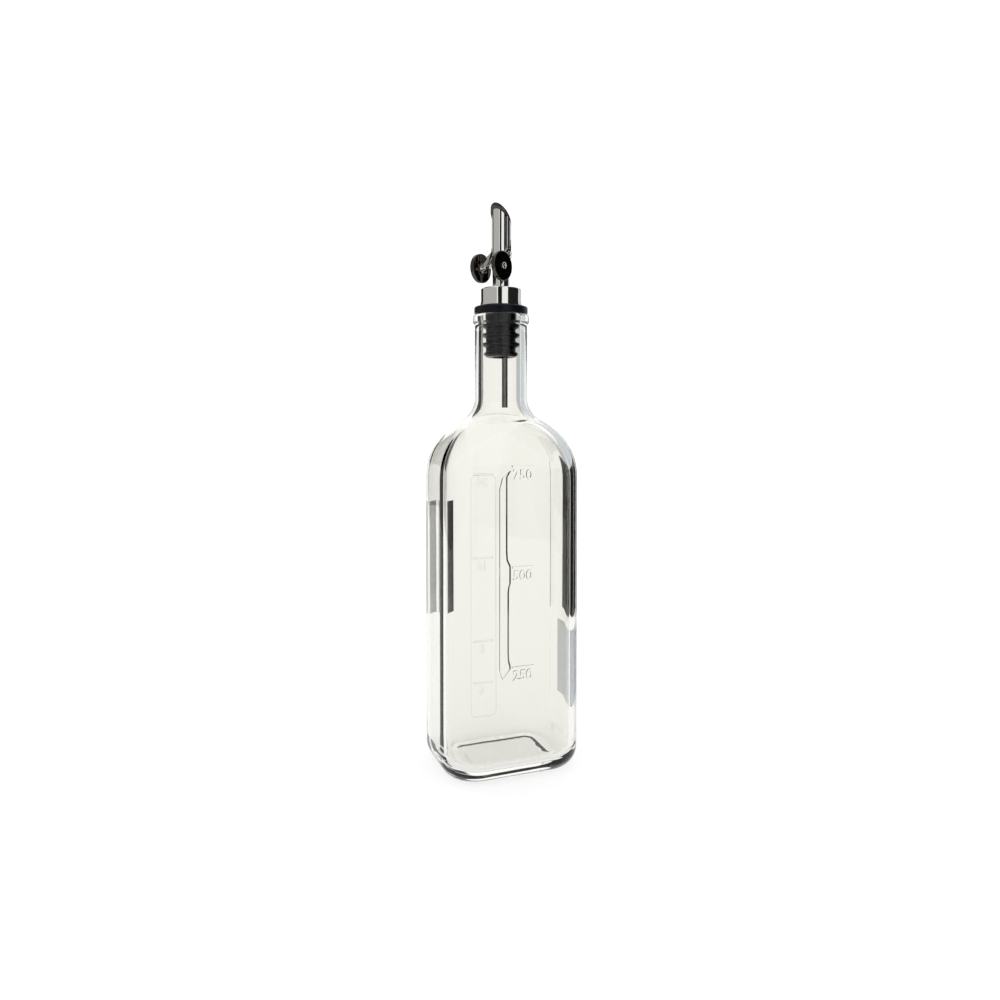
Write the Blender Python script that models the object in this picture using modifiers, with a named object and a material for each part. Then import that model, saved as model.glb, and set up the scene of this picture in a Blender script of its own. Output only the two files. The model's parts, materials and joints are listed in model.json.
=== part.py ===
"""Oil and vinegar bottle: rectangular glass, ribbed stopper and a steel pourer with a weighted flap.

Metres, +Z up. The origin is on the bottle's axis, on the plane that it stands on.
The wide faces look along -Y (front, with the raised scale) and +Y.
The pourer has its own frame: +X is the pouring direction and +Y runs along the hinge pin.
"""
import math

import bmesh
import bpy
from mathutils import Matrix, Vector

# Driving dimensions of the glass
BODY_WIDTH = 0.0846
BODY_DEPTH = 0.0684
CORNER_RADIUS = 0.0220
HEEL_RADIUS = 0.0114
SHOULDER_START = 0.1690
SHOULDER_SWEEP = math.radians(60)
SHOULDER_INWARD_POWER = 1.60
SHOULDER_UPWARD_POWER = 0.78
NECK_RADIUS = 0.0157
NECK_BORE_RADIUS = 0.0115
NECK_FILLET = 0.0140
INNER_NECK_FILLET = 0.0182
FILLET_HEIGHT = 0.2185
NECK_FOOT_SLOPE = math.radians(30)
LIP_RADIUS = 0.0169
LIP_HEIGHT = 0.0052
LIP_ROUNDING = 0.0010
GLASS_TOP = 0.2680
WALL = 0.0045
FLOOR_THICKNESS = 0.0070
INNER_HEEL_RADIUS = 0.0080
BASE_RING_WIDTH = 0.0050
PUNT_SLOPE_WIDTH = 0.0040
PUNT_DEPTH = 0.0020

# Raised scale on the wide faces
RELIEF = 0.0006
RELIEF_ROOT = 0.0015
BAR_OFFSET = 0.0115
BAR_WIDTH = 0.0052
BAR_TOP = 0.1755
BAR_SWELL = 0.0020
BAR_POINT = 0.0016
BAR_POINT_DROP = 0.0060
PANEL_WIDTH = 0.0170
PANEL_BOTTOM = 0.0145
PANEL_TOP = 0.1700
PANEL_ROUNDING = 0.0040
PANEL_RELIEF = 0.0003
TICK_LENGTH = 0.0130
TICK_HEIGHT = 0.0010
LOWEST_TICK = 0.0665
TICK_SPACING = 0.0567
NUMBER_SIZE = 0.0080
NUMBER_DROP = 0.0074
TICK_VOLUME = 250.0
MILLILITRE_MARKS = (("250", 250.0), ("500", 500.0), ("750", 750.0))
OUNCE_MARKS = (("4", 4 * 29.57), ("8", 8 * 29.57), ("16", 16 * 29.57), ("24", 24 * 29.57))

# Stopper, collar and tubes
GAP = 0.0003
STOPPER_TOP = 0.2730
STOPPER_BOTTOM = 0.2436
FLANGE_RADIUS = 0.0160
FLANGE_ROUNDING = 0.0012
STOPPER_CORE_RADIUS = 0.0090
RIB_RADIUS = 0.0112
LAST_RIB_RADIUS = 0.0102
RIB_COUNT = 4
RIB_TOP_HEIGHT = 0.2620
RIB_PITCH = 0.0056
RIB_ROOT = 0.0032
RIB_EDGE = 0.0014
COLLAR_RADIUS = 0.0127
COLLAR_WALL_RADIUS = 0.0122
COLLAR_BEAD = 0.0022
COLLAR_HEIGHT = 0.0105
COLLAR_TOP_ROUNDING = 0.0010
SPOUT_RADIUS = 0.0051
SPOUT_BORE_RADIUS = 0.0045
SPOUT_BOTTOM = 0.2460
MOUTH_MIDDLE = 0.3243
MOUTH_SLOPE = 1.2
AIR_TUBE_RADIUS = 0.00175
AIR_TUBE_BORE_RADIUS = 0.0012
AIR_TUBE_BOTTOM = 0.2120
AIR_TUBE_TOP = 0.3150
AIR_TUBE_PLACE = (0.00215, -0.00082)

# Weighted flap, in the pourer's frame
POUR_ANGLE = math.radians(211.4)
FLAP_INNER_RADIUS = 0.0056
FLAP_OUTER_RADIUS = 0.0062
FLAP_PLATE = 0.0009
SHIELD_BOTTOM = 0.3082
SHIELD_FRONT = 0.0012
HINGE_X = 0.0004
HINGE_Z = 0.3035
HINGE_EYE_RADIUS = 0.0030
PIN_RADIUS = 0.0009
PIN_HEAD_RADIUS = 0.0017
PIN_HEAD = 0.0006
WEIGHT_X = 0.0094
WEIGHT_Z = 0.2953
WEIGHT_RADIUS = 0.0086
WEIGHT_THICKNESS = 0.0027
WEIGHT_ROUNDING = 0.0006
ROD_RADIUS = 0.0009
ROD_HEAD_RADIUS = 0.00185
ROD_HEAD = 0.0008
ARM_END_RADIUS = 0.0034
STRAP_X = -0.0008
STRAP_Z = 0.3110
STRAP_TOP_RADIUS = 0.0011
STRAP_FOOT_RADIUS = 0.0024
STRAP_RECESS = 0.00008

# Facets
GLASS_STEPS = 60
ROUND_STEPS = 32
SMALL_STEPS = 16
SMOOTH_ANGLE = math.radians(35)
MERGE = 0.00002
OVERCUT = 0.01
NEARLY_ZERO = 1e-9
LEAST_CORNER = 0.001
FONT_MERGE = 1e-6


def clear_scene():
    for old in list(bpy.data.objects):
        bpy.data.objects.remove(old, do_unlink=True)


def new_collection(name):
    group = bpy.data.collections.new(name)
    bpy.context.scene.collection.children.link(group)
    return group


def material(name, colour, roughness, metallic=0.0, transmission=0.0):
    made = bpy.data.materials.new(name)
    made.use_nodes = True
    shader = made.node_tree.nodes["Principled BSDF"]
    shader.inputs["Base Color"].default_value = (*colour, 1.0)
    shader.inputs["Roughness"].default_value = roughness
    shader.inputs["Metallic"].default_value = metallic
    shader.inputs["Transmission Weight"].default_value = transmission
    return made


def add_object(name, mesh, group, finish=None, parent=None, location=(0.0, 0.0, 0.0)):
    piece = bpy.data.objects.new(name, mesh)
    group.objects.link(piece)
    piece.parent = parent
    piece.location = location
    if finish:
        mesh.materials.append(finish)
    return piece


def add_empty(name, group, parent=None, location=(0.0, 0.0, 0.0), turn=0.0):
    empty = add_object(name, None, group, None, parent, location)
    empty.rotation_euler = (0.0, 0.0, turn)
    return empty


def mesh_from(shape, name):
    bmesh.ops.recalc_face_normals(shape, faces=shape.faces)
    mesh = bpy.data.meshes.new(name)
    shape.to_mesh(mesh)
    shape.free()
    return mesh


def shade_round(piece):
    piece.data.shade_smooth()
    piece.data.set_sharp_from_angle(angle=SMOOTH_ANGLE)


def as_cutter(piece):
    piece.hide_render = True
    piece.display_type = "WIRE"
    return piece


def boolean(piece, operation, other):
    step = piece.modifiers.new(operation.title(), "BOOLEAN")
    step.operation = operation
    step.solver = "EXACT"
    if isinstance(other, bpy.types.Collection):
        step.operand_type = "COLLECTION"
        step.collection = other
    else:
        step.object = other


def cylinder_mesh(name, radius, bottom, top, steps):
    shape = bmesh.new()
    bmesh.ops.create_cone(
        shape, cap_ends=True, segments=steps, radius1=radius, radius2=radius,
        depth=top - bottom, matrix=Matrix.Translation((0.0, 0.0, (top + bottom) / 2)))
    return mesh_from(shape, name)


def block_mesh(name, low, high):
    size = Vector(high) - Vector(low)
    middle = (Vector(high) + Vector(low)) / 2
    shape = bmesh.new()
    bmesh.ops.create_cube(
        shape, size=1.0, matrix=Matrix.Translation(middle) @ Matrix.Diagonal((*size, 1.0)))
    return mesh_from(shape, name)


def slope_top(mesh, rise):
    """Put the upper end of an upright solid on the spout's slanted mouth, raised by rise."""
    middle = sum(corner.co.z for corner in mesh.vertices) / len(mesh.vertices)
    for corner in mesh.vertices:
        if corner.co.z > middle:
            corner.co.z = MOUTH_MIDDLE + MOUTH_SLOPE * corner.co.x + rise
    return mesh


def turned(name, outline, group, finish, steps, closed=False, parent=None, location=(0.0, 0.0, 0.0)):
    """A profile of (radius, height) points turned about Z; it runs down the outer side."""
    mesh = bpy.data.meshes.new(name)
    count = len(outline)
    edges = [(i, i + 1) for i in range(count - 1)]
    if closed:
        edges.append((count - 1, 0))
    mesh.from_pydata([(radius, 0.0, height) for radius, height in outline], edges, [])
    piece = add_object(name, mesh, group, finish, parent, location)
    screw = piece.modifiers.new("Turn", "SCREW")
    screw.steps = steps
    screw.render_steps = steps
    screw.use_merge_vertices = True
    screw.merge_threshold = MERGE
    screw.use_smooth_shade = True
    return piece


def arc(centre_x, centre_z, radius, start, end, steps):
    """Points on an arc from start to end, both angles in degrees."""
    points = []
    for i in range(steps + 1):
        angle = math.radians(start + (end - start) * i / steps)
        points.append((centre_x + radius * math.cos(angle), centre_z + radius * math.sin(angle)))
    return points


def rounded_rectangle_point(angle, half_width, half_depth, radius):
    """Where a ray from the centre meets a rectangle with round corners."""
    across, along = abs(math.cos(angle)), abs(math.sin(angle))
    reach = min(half_width / max(across, NEARLY_ZERO), half_depth / max(along, NEARLY_ZERO))
    corner_x, corner_y = half_width - radius, half_depth - radius
    if reach * across > corner_x and reach * along > corner_y:
        middle = across * corner_x + along * corner_y
        spare = corner_x ** 2 + corner_y ** 2 - radius ** 2
        reach = middle + math.sqrt(max(middle ** 2 - spare, 0.0))
    return reach * math.cos(angle), reach * math.sin(angle)


def glass_ring(height, inset, squareness=1.0, round_radius=0.0):
    """One level of the bottle: the body's section, drawn in by inset, blended to a circle."""
    half_width = BODY_WIDTH / 2 - inset
    half_depth = BODY_DEPTH / 2 - inset
    radius = max(CORNER_RADIUS - inset, LEAST_CORNER)
    ring = []
    for i in range(GLASS_STEPS):
        angle = 2 * math.pi * (i + 0.5) / GLASS_STEPS
        x, y = rounded_rectangle_point(angle, half_width, half_depth, radius)
        ring.append((
            squareness * x + (1 - squareness) * round_radius * math.cos(angle),
            squareness * y + (1 - squareness) * round_radius * math.sin(angle),
            height))
    return ring


def round_rings(outline):
    return [glass_ring(height, 0.0, 0.0, radius) for radius, height in outline]


def shoulder_rings(inset, neck_radius, fillet, steps, fillet_steps):
    """The dome from the full section up to the sloping foot of the neck, and the neck's fillet."""
    round_radius = neck_radius + fillet * (1 - math.sin(NECK_FOOT_SLOPE))
    top = FILLET_HEIGHT - fillet * math.cos(NECK_FOOT_SLOPE)
    least = math.cos(SHOULDER_SWEEP) ** SHOULDER_INWARD_POWER
    rings = []
    for i in range(1, steps + 1):
        turn = SHOULDER_SWEEP * i / steps
        squareness = (math.cos(turn) ** SHOULDER_INWARD_POWER - least) / (1 - least)
        rise = (math.sin(turn) / math.sin(SHOULDER_SWEEP)) ** SHOULDER_UPWARD_POWER
        height = SHOULDER_START + (top - SHOULDER_START) * rise
        rings.append(glass_ring(height, inset, squareness, round_radius))
    start = 270 - math.degrees(NECK_FOOT_SLOPE)
    curve = arc(neck_radius + fillet, FILLET_HEIGHT, fillet, start, 180, fillet_steps)
    return rings + round_rings(curve[1:])


def heel_rings(bottom, inset, radius, steps):
    """The rounding between the base and the walls, from the base up."""
    rings = []
    for i in range(steps + 1):
        turn = math.pi / 2 * i / steps
        rings.append(glass_ring(
            bottom + radius * (1 - math.cos(turn)), inset + radius * (1 - math.sin(turn))))
    return rings


def glass_body_mesh():
    """One closed skin: base, outside, lip, bore, inside and floor."""
    punt_edge = HEEL_RADIUS + BASE_RING_WIDTH
    outside = [
        glass_ring(PUNT_DEPTH, punt_edge + PUNT_SLOPE_WIDTH),
        glass_ring(0.0, punt_edge)]
    outside += heel_rings(0.0, 0.0, HEEL_RADIUS, 6)
    outside.append(glass_ring(SHOULDER_START, 0.0))
    outside += shoulder_rings(0.0, NECK_RADIUS, NECK_FILLET, 11, 4)
    lip = [(NECK_RADIUS, GLASS_TOP - LIP_HEIGHT - LIP_ROUNDING)]
    lip += arc(LIP_RADIUS - LIP_ROUNDING, GLASS_TOP - LIP_HEIGHT + LIP_ROUNDING, LIP_ROUNDING, -90, 0, 2)
    lip += arc(LIP_RADIUS - LIP_ROUNDING, GLASS_TOP - LIP_ROUNDING, LIP_ROUNDING, 0, 90, 2)
    lip += arc(NECK_BORE_RADIUS + LIP_ROUNDING, GLASS_TOP - LIP_ROUNDING, LIP_ROUNDING, 90, 180, 2)
    inside = [glass_ring(SHOULDER_START, WALL)]
    inside += shoulder_rings(WALL, NECK_BORE_RADIUS, INNER_NECK_FILLET, 9, 4)
    floor = heel_rings(FLOOR_THICKNESS, WALL, INNER_HEEL_RADIUS, 4)
    rings = outside + round_rings(lip) + inside[::-1] + floor[::-1]

    shape = bmesh.new()
    loops = [[shape.verts.new(point) for point in ring] for ring in rings]
    for lower, upper in zip(loops, loops[1:]):
        for i in range(GLASS_STEPS):
            j = (i + 1) % GLASS_STEPS
            shape.faces.new((lower[i], lower[j], upper[j], upper[i]))
    for loop, height in ((loops[0], PUNT_DEPTH), (loops[-1], FLOOR_THICKNESS)):
        middle = shape.verts.new((0.0, 0.0, height))
        for i in range(GLASS_STEPS):
            shape.faces.new((middle, loop[i], loop[(i + 1) % GLASS_STEPS]))
    return mesh_from(shape, "glass_bottle")


def number_mesh(words):
    """Plain digits as a solid, centred, standing on Y and as thick as the relief and its root."""
    text = bpy.data.curves.new("number", "FONT")
    text.body = words
    text.size = NUMBER_SIZE
    text.align_x = "CENTER"
    text.resolution_u = 2
    text.extrude = (RELIEF + RELIEF_ROOT) / 2
    source = bpy.data.objects.new("number_text", text)
    bpy.context.scene.collection.objects.link(source)
    bpy.context.view_layer.update()
    ready = source.evaluated_get(bpy.context.evaluated_depsgraph_get())
    mesh = bpy.data.meshes.new_from_object(ready)
    bpy.data.objects.remove(source)
    shape = bmesh.new()
    shape.from_mesh(mesh)
    bmesh.ops.remove_doubles(shape, verts=shape.verts, dist=FONT_MERGE)
    return mesh_from(shape, "number_" + words)


def tick_height(volume):
    return LOWEST_TICK + TICK_SPACING * (volume / TICK_VOLUME - 1)


def bar_outline(heights):
    """The bar on the near face: a straight left edge, and a right edge that swells to each mark."""
    left, right = -BAR_OFFSET - BAR_WIDTH / 2, -BAR_OFFSET + BAR_WIDTH / 2
    swell = right + BAR_SWELL
    foot, middle = heights[0], heights[1]
    return [
        (left, BAR_TOP - 0.0080), (left, foot - 0.0010),
        (left + BAR_POINT, foot - BAR_POINT_DROP),
        (swell, foot - 0.0006), (swell, foot + 0.0008), (right, foot + 0.0090),
        (right, middle - 0.0140), (swell, middle - 0.0090), (swell, middle + 0.0008),
        (right, middle + 0.0090), (right, BAR_TOP - 0.0015), (swell, BAR_TOP + 0.0020),
        (left + BAR_POINT, BAR_TOP - 0.0020)]


def panel_outline():
    """The narrow panel with round corners on the far face."""
    across = PANEL_WIDTH / 2 - PANEL_ROUNDING
    outline = []
    for x, z, start in (
            (across, PANEL_TOP - PANEL_ROUNDING, 0), (-across, PANEL_TOP - PANEL_ROUNDING, 90),
            (-across, PANEL_BOTTOM + PANEL_ROUNDING, 180), (across, PANEL_BOTTOM + PANEL_ROUNDING, 270)):
        outline += arc(x, z, PANEL_ROUNDING, start, start + 90, 4)
    return outline


def face_plate(name, outline, relief):
    """A plate with the given (x, z) outline, rooted in the near face and raised by relief."""
    face = -BODY_DEPTH / 2
    shape = bmesh.new()
    flat = shape.faces.new([shape.verts.new((x, face + RELIEF_ROOT, z)) for x, z in outline])
    moved = bmesh.ops.extrude_face_region(shape, geom=[flat])
    front = [item for item in moved["geom"] if isinstance(item, bmesh.types.BMVert)]
    bmesh.ops.translate(shape, verts=front, vec=(0.0, -RELIEF_ROOT - relief, 0.0))
    return mesh_from(shape, name)


def raised_scale(name, marks, ground, group, relief, turn):
    """The ground of one face's scale, and a tick and a number for each mark."""
    face = -BODY_DEPTH / 2
    outer, inner = face - RELIEF, face + RELIEF_ROOT
    frame = add_empty(name + "_frame", group, turn=turn)
    as_cutter(add_object(name + "_ground", ground, relief, parent=frame))
    for words, volume in marks:
        height = tick_height(volume)
        tick = block_mesh(
            name + "_tick",
            (-TICK_LENGTH / 2, outer, height - TICK_HEIGHT / 2),
            (TICK_LENGTH / 2, inner, height + TICK_HEIGHT / 2))
        as_cutter(add_object(name + "_tick", tick, relief, parent=frame))
        number = as_cutter(add_object(
            name + "_number", number_mesh(words), relief, parent=frame,
            location=(0.0, (outer + inner) / 2, height - NUMBER_DROP)))
        number.rotation_euler = (math.pi / 2, 0.0, 0.0)


def add_glass(group, finish):
    relief = new_collection("RaisedScale")
    heights = [tick_height(volume) for words, volume in MILLILITRE_MARKS]
    bar = face_plate("bar", bar_outline(heights), RELIEF)
    panel = face_plate("panel", panel_outline(), PANEL_RELIEF)
    raised_scale("front_scale", MILLILITRE_MARKS, bar, group, relief, 0.0)
    raised_scale("back_scale", OUNCE_MARKS, panel, group, relief, math.pi)
    bottle = add_object("glass_bottle", glass_body_mesh(), group, finish)
    boolean(bottle, "UNION", relief)
    shade_round(bottle)


def stopper_outline():
    """Down the outside of the stopper, rib by rib, and back up its bore."""
    bottom_of_flange = GLASS_TOP + GAP
    edge = FLANGE_RADIUS - FLANGE_ROUNDING
    points = arc(edge, STOPPER_TOP - FLANGE_ROUNDING, FLANGE_ROUNDING, 90, 0, 3)
    points += arc(edge, bottom_of_flange + FLANGE_ROUNDING, FLANGE_ROUNDING, 0, -90, 3)
    points.append((STOPPER_CORE_RADIUS, bottom_of_flange))
    for i in range(RIB_COUNT):
        height = RIB_TOP_HEIGHT - RIB_PITCH * i
        reach = LAST_RIB_RADIUS if i == RIB_COUNT - 1 else RIB_RADIUS
        foot = max(height - RIB_ROOT / 2, STOPPER_BOTTOM)
        points += [
            (STOPPER_CORE_RADIUS, height + RIB_ROOT / 2),
            (reach, height + RIB_EDGE / 2),
            (reach, height - RIB_EDGE / 2),
            (STOPPER_CORE_RADIUS, foot)]
    bore = SPOUT_RADIUS + GAP
    points += [(bore, STOPPER_BOTTOM), (bore, STOPPER_TOP)]
    return points


def add_stopper(group, finish):
    turned("rubber_stopper", stopper_outline(), group, finish, ROUND_STEPS, closed=True)


def add_collar(group, finish):
    """A steel cap on the flange, with a rolled bead at its foot and a round upper edge."""
    bottom = STOPPER_TOP + GAP
    top = bottom + COLLAR_HEIGHT
    bead = COLLAR_BEAD / 2
    edge = COLLAR_WALL_RADIUS - COLLAR_TOP_ROUNDING
    bore = SPOUT_RADIUS + GAP
    points = [(bore, top)]
    points += arc(edge, top - COLLAR_TOP_ROUNDING, COLLAR_TOP_ROUNDING, 90, 0, 3)
    points.append((COLLAR_WALL_RADIUS, bottom + COLLAR_BEAD))
    points += arc(COLLAR_RADIUS - bead, bottom + bead, bead, 60, -90, 4)
    points.append((bore, bottom))
    turned("steel_collar", points, group, finish, ROUND_STEPS, closed=True)


def add_spout(group, cutters, pourer, finish):
    tube = cylinder_mesh("spout_tube", SPOUT_RADIUS, SPOUT_BOTTOM, MOUTH_MIDDLE, ROUND_STEPS)
    spout = add_object("spout_tube", slope_top(tube, 0.0), group, finish, pourer)
    hole = cylinder_mesh(
        "spout_bore", SPOUT_BORE_RADIUS, SPOUT_BOTTOM - OVERCUT, MOUTH_MIDDLE + 2 * OVERCUT, ROUND_STEPS)
    bore = as_cutter(add_object("spout_bore", hole, cutters, parent=pourer))
    boolean(spout, "DIFFERENCE", bore)
    shade_round(spout)


def add_air_tube(group, finish):
    points = [
        (AIR_TUBE_RADIUS, AIR_TUBE_TOP), (AIR_TUBE_RADIUS, AIR_TUBE_BOTTOM),
        (AIR_TUBE_BORE_RADIUS, AIR_TUBE_BOTTOM), (AIR_TUBE_BORE_RADIUS, AIR_TUBE_TOP)]
    turned(
        "air_tube", points, group, finish, SMALL_STEPS, closed=True,
        location=(*AIR_TUBE_PLACE, 0.0))


def lay_along_pin(piece):
    """Turn a piece that was made about Z so that its axis runs along the hinge pin."""
    piece.rotation_euler = (-math.pi / 2, 0.0, 0.0)


def pin_cutter(name, radius, centre_x, centre_z, cutters, pourer):
    reach = 2 * FLAP_OUTER_RADIUS
    hole = cylinder_mesh(name, radius, -reach, reach, SMALL_STEPS)
    cutter = as_cutter(add_object(name, hole, cutters, parent=pourer, location=(centre_x, 0.0, centre_z)))
    lay_along_pin(cutter)
    return cutter


def add_hinge_pins(group, pourer, finish):
    """A short headed rivet on each side of the spout; the flap's eyes swing on the two of them."""
    root = SPOUT_RADIUS + GAP
    head = FLAP_OUTER_RADIUS + GAP
    end = head + PIN_HEAD
    near_points = [(0.0, end), (PIN_HEAD_RADIUS, end), (PIN_HEAD_RADIUS, head),
                   (PIN_RADIUS, head), (PIN_RADIUS, root), (0.0, root)]
    far_points = [(radius, -height) for radius, height in reversed(near_points)]
    for label, points in (("near_hinge_pin", near_points), ("far_hinge_pin", far_points)):
        pin = turned(
            label, points, group, finish, SMALL_STEPS, parent=pourer, location=(HINGE_X, 0.0, HINGE_Z))
        lay_along_pin(pin)


def belt_outline(circle, other, steps):
    """The outline of a belt round two circles, each (x, z, radius), anticlockwise."""
    outline = []
    for (x, z, radius), (x_next, z_next, radius_next) in ((circle, other), (other, circle)):
        heading = math.atan2(z_next - z, x_next - x)
        spread = math.acos((radius - radius_next) / math.hypot(x_next - x, z_next - z))
        outline += arc(x, z, radius, math.degrees(heading + spread),
                       math.degrees(heading - spread) + 360, steps)
    return outline


def strap_mesh(side, circle, other, recess):
    """A flat strap beside the spout between two round ends, thinned by recess on both faces."""
    near, far = side * (FLAP_INNER_RADIUS + recess), side * (FLAP_OUTER_RADIUS - recess)
    shape = bmesh.new()
    corners = [shape.verts.new((x, near, z)) for x, z in belt_outline(circle, other, 8)]
    flat = shape.faces.new(corners)
    moved = bmesh.ops.extrude_face_region(shape, geom=[flat])
    top = [item for item in moved["geom"] if isinstance(item, bmesh.types.BMVert)]
    bmesh.ops.translate(shape, verts=top, vec=(0.0, far - near, 0.0))
    return mesh_from(shape, "strap")


def add_flap(group, cutters, pourer, hinge, finish):
    """A plate on the slanted mouth, a half round shield behind the spout and an arm on each side."""
    at_rest = (-HINGE_X, 0.0, -HINGE_Z)
    slant = math.hypot(1.0, MOUTH_SLOPE)
    under = GAP * slant
    below = SHIELD_BOTTOM - OVERCUT
    blank = cylinder_mesh("pour_flap", FLAP_OUTER_RADIUS, SHIELD_BOTTOM, MOUTH_MIDDLE, ROUND_STEPS)
    flap = add_object(
        "pour_flap", slope_top(blank, under + FLAP_PLATE * slant), group, finish, hinge, at_rest)
    core = cylinder_mesh("flap_core", FLAP_INNER_RADIUS, below, MOUTH_MIDDLE, ROUND_STEPS)
    core_piece = as_cutter(add_object("flap_core", slope_top(core, under), cutters, parent=pourer))
    front = block_mesh(
        "flap_front",
        (SHIELD_FRONT, -2 * FLAP_OUTER_RADIUS, below),
        (2 * FLAP_OUTER_RADIUS, 2 * FLAP_OUTER_RADIUS, MOUTH_MIDDLE))
    front_piece = as_cutter(add_object("flap_front", slope_top(front, under), cutters, parent=pourer))
    boolean(flap, "DIFFERENCE", core_piece)
    boolean(flap, "DIFFERENCE", front_piece)
    foot = (HINGE_X, HINGE_Z, STRAP_FOOT_RADIUS)
    eye = (HINGE_X, HINGE_Z, HINGE_EYE_RADIUS)
    for side, label in ((1, "near"), (-1, "far")):
        strap = strap_mesh(side, foot, (STRAP_X, STRAP_Z, STRAP_TOP_RADIUS), STRAP_RECESS)
        arm = strap_mesh(side, eye, (WEIGHT_X, WEIGHT_Z, ARM_END_RADIUS), 0.0)
        for part, mesh in (("strap", strap), ("arm", arm)):
            piece = as_cutter(add_object(label + "_" + part, mesh, cutters, parent=pourer))
            boolean(flap, "UNION", piece)
    boolean(flap, "DIFFERENCE", pin_cutter(
        "eye_bore", PIN_RADIUS + GAP, HINGE_X, HINGE_Z, cutters, pourer))
    boolean(flap, "DIFFERENCE", pin_cutter(
        "rod_bore", ROD_RADIUS + GAP, WEIGHT_X, WEIGHT_Z, cutters, pourer))
    shade_round(flap)


def add_weights(group, hinge, finish):
    """Two round counterweights outside the arms, and the rod that holds them in front of the spout."""
    inner_face = FLAP_OUTER_RADIUS + GAP
    centre_x, centre_z = WEIGHT_X - HINGE_X, WEIGHT_Z - HINGE_Z
    half = WEIGHT_THICKNESS / 2
    edge = WEIGHT_RADIUS - WEIGHT_ROUNDING
    points = arc(edge, half - WEIGHT_ROUNDING, WEIGHT_ROUNDING, 90, 0, 2)
    points += arc(edge, -half + WEIGHT_ROUNDING, WEIGHT_ROUNDING, 0, -90, 2)
    points += [(ROD_RADIUS + GAP, -half), (ROD_RADIUS + GAP, half)]
    for side, label in ((1, "near_weight"), (-1, "far_weight")):
        weight = turned(
            label, points, group, finish, ROUND_STEPS, closed=True, parent=hinge,
            location=(centre_x, side * (inner_face + half), centre_z))
        lay_along_pin(weight)
    head = inner_face + WEIGHT_THICKNESS + GAP
    end = head + ROD_HEAD
    rod_points = [
        (0.0, end), (ROD_HEAD_RADIUS, end), (ROD_HEAD_RADIUS, head), (ROD_RADIUS, head),
        (ROD_RADIUS, -head), (ROD_HEAD_RADIUS, -head), (ROD_HEAD_RADIUS, -end), (0.0, -end)]
    rod = turned(
        "weight_rod", rod_points, group, finish, SMALL_STEPS, parent=hinge,
        location=(centre_x, 0.0, centre_z))
    lay_along_pin(rod)


def main():
    clear_scene()
    bottle = new_collection("CondimentBottle")
    cutters = new_collection("Cutters")
    glass = material("clear_glass", (0.95, 0.96, 0.93), 0.02, 0.0, 1.0)
    rubber = material("black_rubber", (0.012, 0.014, 0.018), 0.45)
    steel = material("polished_steel", (0.72, 0.72, 0.71), 0.12, 1.0)
    pourer = add_empty("pourer_axis", bottle, turn=POUR_ANGLE)
    hinge = add_empty("flap_axis", bottle, pourer, (HINGE_X, 0.0, HINGE_Z))
    add_glass(bottle, glass)
    add_stopper(bottle, rubber)
    add_collar(bottle, steel)
    add_spout(bottle, cutters, pourer, steel)
    add_air_tube(bottle, steel)
    add_hinge_pins(bottle, pourer, steel)
    add_flap(bottle, cutters, pourer, hinge, steel)
    add_weights(bottle, hinge, steel)


main()
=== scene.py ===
# %% [markdown]
# A glass oil and vinegar bottle with a steel pourer
#
# The construction, with its real sizes and its hinge, is loaded as a fixed frame. This script
# gives every piece its finished surface: thick clear glass with a moulded scale, a ribbed rubber
# stopper, and polished steel for the collar, the spout and the weighted flap.

# %% Load the frame
import json
import math

import bpy
from mathutils import Matrix, Vector

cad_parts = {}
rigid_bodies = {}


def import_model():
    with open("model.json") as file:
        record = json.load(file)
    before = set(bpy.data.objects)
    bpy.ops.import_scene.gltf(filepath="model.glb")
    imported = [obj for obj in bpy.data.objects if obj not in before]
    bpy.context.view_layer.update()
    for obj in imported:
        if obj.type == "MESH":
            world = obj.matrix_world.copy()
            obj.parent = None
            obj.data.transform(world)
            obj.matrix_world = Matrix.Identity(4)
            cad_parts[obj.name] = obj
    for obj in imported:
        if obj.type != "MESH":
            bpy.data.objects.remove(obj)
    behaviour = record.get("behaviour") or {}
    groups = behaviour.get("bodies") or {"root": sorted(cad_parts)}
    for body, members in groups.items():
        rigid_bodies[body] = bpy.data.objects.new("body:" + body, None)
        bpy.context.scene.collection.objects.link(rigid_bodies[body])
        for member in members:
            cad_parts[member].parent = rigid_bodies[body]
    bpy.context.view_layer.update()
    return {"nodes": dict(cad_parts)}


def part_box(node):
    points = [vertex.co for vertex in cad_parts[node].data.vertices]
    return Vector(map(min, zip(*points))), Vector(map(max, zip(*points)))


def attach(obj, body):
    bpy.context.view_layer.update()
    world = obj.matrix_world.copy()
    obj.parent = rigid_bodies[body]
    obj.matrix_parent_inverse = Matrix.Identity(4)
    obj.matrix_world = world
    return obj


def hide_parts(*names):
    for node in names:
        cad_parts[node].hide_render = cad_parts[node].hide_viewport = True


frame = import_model()
print("pieces of the construction:", sorted(frame["nodes"]))

# %% [markdown]
# Two helpers come first. Blender's operators act on what is selected, and the frame arrives
# selected, so every new piece starts by clearing the selection. Inside a mesh, faces and edges
# are picked in code by where they are, so a picker takes a test on a point.

# %% Selecting
SCENE = bpy.context.scene
NEAR = 1e-6
SAME_PLACE = 1e-7


def deselect_all():
    for item in SCENE.objects:
        item.select_set(False)


def pick(piece):
    deselect_all()
    piece.select_set(True)
    bpy.context.view_layer.objects.active = piece
    return piece


def edit(piece, kind="VERT"):
    pick(piece)
    bpy.ops.object.mode_set(mode="EDIT")
    bpy.ops.mesh.select_mode(type=kind)
    bpy.ops.mesh.select_all(action="DESELECT")


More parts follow.
